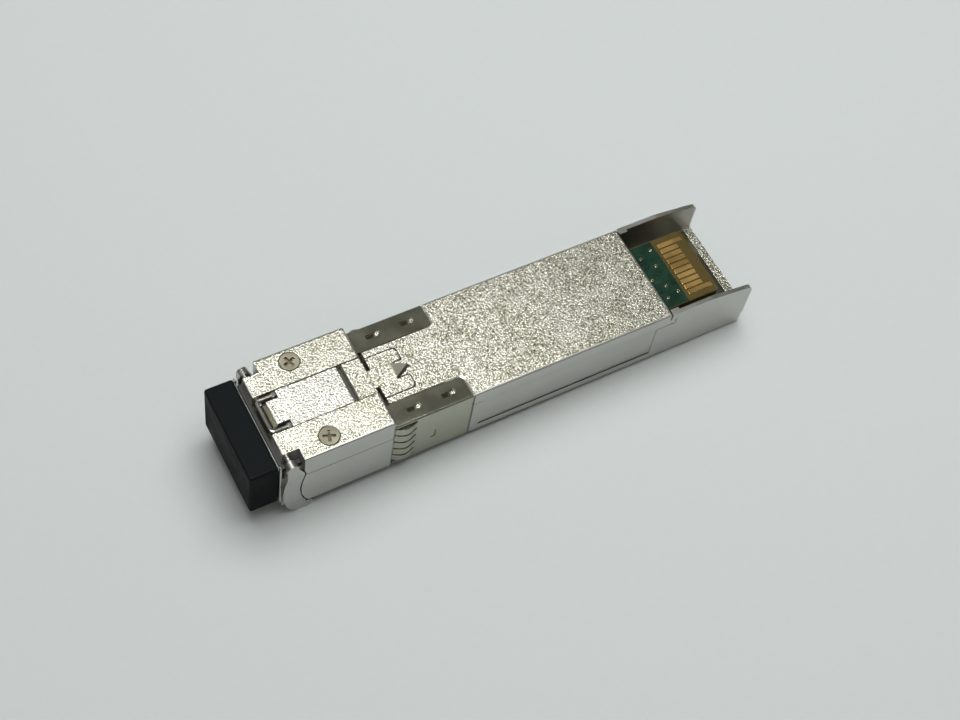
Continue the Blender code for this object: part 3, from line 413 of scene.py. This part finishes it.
def ribbon(bm, path, width, low, high):
    """A flat track that follows (x, y) points."""
    rings = []
    for i, (x, y) in enumerate(path):
        nx, ny = across(path, i)
        section = ((width / 2, low), (width / 2, high), (-width / 2, high), (-width / 2, low))
        rings.append([bm.verts.new(at(x + nx * out, y + ny * out, z)) for out, z in section])
    loft(bm, rings)


def make_tracks(paint):
    """Copper tracks under the mask, from the contacts towards the chips."""
    bm = bmesh.new()
    for i, lean in enumerate(TRACK_LEANS, 1):
        path = []
        for k in range(TRACK_STEPS + 1):
            t = k / TRACK_STEPS
            y = pad_y(i) + lean * math.sin(t * math.pi / 2) ** 2
            path.append((PAD_START - TRACK_GAP - TRACK_LENGTH * t, y))
        ribbon(bm, path, TRACK_WIDTH, BOARD_TOP - SUNK, BOARD_TOP + TRACK_RISE)
    new_piece("board_tracks", bm, paint, "module")


def make_vias(paint):
    """Plated holes with a raised rim."""
    bm = bmesh.new()
    turns = [math.tau * k / VIA_SIDES for k in range(VIA_SIDES)]
    for x, y in VIAS:
        rings = []
        for r, rise in VIA_PROFILE:
            rings.append([bm.verts.new(at(x + r * math.cos(a), y + r * math.sin(a), BOARD_TOP + rise))
                          for a in turns])
        loft(bm, rings)
    new_piece("board_vias", bm, paint, "module")


def make_recess_rims(paint):
    """Sloping edge of the shallow recess round the rear corner of each collar flap."""
    cx, cy = RECESS_END - FLAP_CORNER, FLAP_EDGE + FLAP_CORNER
    corner = [(cx + FLAP_CORNER * math.sin(a), cy - FLAP_CORNER * math.cos(a))
              for a in (math.radians(15 * k) for k in range(7))]
    plan = [*RIM_LEAD, *corner, *RIM_TAIL]
    for side, sign in (("near", -1), ("far", 1)):
        bm = bmesh.new()
        rings = []
        for i, (x, y) in enumerate(plan):
            nx, ny = across(plan, i)
            rings.append([bm.verts.new(at(x + nx * run, sign * (y + ny * run), z))
                          for run, z in RIM_SECTION])
        loft(bm, rings)
        new_piece("recess_rim_" + side, bm, paint, "module")


make_recess_rims(sheet_steel("rim_nickel", (0.85, 0.85, 0.80), 0.25, 0.1))
make_contacts(sheet_steel("contact_gold", (0.70, 0.45, 0.16), 0.32, 0.1))
make_tracks(moulded("masked_copper", (0.004, 0.030, 0.015), 0.30, 0.3, 0.002))
make_vias(sheet_steel("via_gold", (0.92, 0.74, 0.42), 0.22))

# ---------------------------------------------------------------- floor, light, camera
BAIL_FOOT = at(-13.7, 0.0, -1.25)
REAR_EDGE = at(BODY_REAR, 0.0, 0.0)
TABLE_HALF = 1.5
TABLE_DROP = 0.00002          # the table lies this far below what stands on it
WORLD_TINT, WORLD_STRENGTH = (1.0, 1.0, 0.92, 1.0), 0.16
CENTRE = (0.0, 0.0, 0.0)
CAMERA_LENS = 65.85           # millimetres on a 36 mm sensor
CAMERA_PLACE = (-0.068017, -0.085485, 0.178575)
CAMERA_TURN = (31.4184, -6.3395, -28.0680)     # degrees


def make_floor():
    """Plain pale table, tilted so that the bail's bar and the rear edge both rest on it."""
    slope = math.atan2(REAR_EDGE.z - BAIL_FOOT.z, REAR_EDGE.x - BAIL_FOOT.x)
    bm = bmesh.new()
    bmesh.ops.create_grid(bm, x_segments=8, y_segments=8, size=TABLE_HALF)
    mesh = bpy.data.meshes.new("table")
    bm.to_mesh(mesh)
    bm.free()
    table = bpy.data.objects.new("table", mesh)
    bpy.context.scene.collection.objects.link(table)
    table.rotation_euler = Euler((0.0, -slope, 0.0))
    table.location = Vector((BAIL_FOOT.x, 0.0, BAIL_FOOT.z - TABLE_DROP))
    paint = Paint("table_top", (0.465, 0.488, 0.481), roughness=0.9, Specular_IOR_Level=0.15)
    fibres = paint.noise(0.9, 4.0, 0.6)
    paint.set("Base Color", paint.mix(fibres, (0.455, 0.479, 0.472), (0.474, 0.498, 0.491)))
    paint.set("Normal", paint.bump(fibres, 0.02, 0.3, paint.rounded(0.1)))
    mesh.materials.append(paint.material)


def area_light(name, place, target, size, power, colour):
    """A square soft light that faces a point."""
    data = bpy.data.lights.new(name, "AREA")
    data.shape = "SQUARE"
    data.size = size
    data.energy = power
    data.color = colour
    lamp = bpy.data.objects.new(name, data)
    bpy.context.scene.collection.objects.link(lamp)
    lamp.location = place
    lamp.rotation_euler = (Vector(target) - Vector(place)).to_track_quat("-Z", "Y").to_euler()
    return lamp


def make_light():
    """Dim surroundings, a ceiling only reflections show, and two lights they don't."""
    world = bpy.data.worlds.new("studio")
    bpy.context.scene.world = world
    world.use_nodes = True
    background = world.node_tree.nodes["Background"]
    background.inputs["Color"].default_value = WORLD_TINT
    background.inputs["Strength"].default_value = WORLD_STRENGTH
    ceiling = area_light("ceiling", place=(-0.26, -0.04, 1.20), target=CENTRE,
                         size=0.84, power=24.0, colour=(1.0, 0.995, 0.985))
    ceiling.visible_diffuse = False
    daylight = area_light("daylight", place=(0.065, 0.075, 0.44), target=(0.01, 0.01, 0.0),
                          size=0.36, power=2.55, colour=(0.985, 0.995, 1.0))
    fill = area_light("fill", place=(-0.2, -0.3, 1.5), target=CENTRE,
                      size=2.4, power=5.0, colour=(1.0, 1.0, 1.0))
    for lamp in (daylight, fill):
        lamp.visible_glossy = False


def make_camera():
    data = bpy.data.cameras.new("camera")
    data.sensor_width = 36.0
    data.lens = CAMERA_LENS
    data.clip_start = 0.01
    data.clip_end = 10.0
    camera = bpy.data.objects.new("camera", data)
    bpy.context.scene.collection.objects.link(camera)
    camera.location = CAMERA_PLACE
    camera.rotation_euler = Euler([math.radians(a) for a in CAMERA_TURN])
    bpy.context.scene.camera = camera


make_floor()
make_light()
make_camera()
bpy.context.scene.view_settings.view_transform = "Standard"
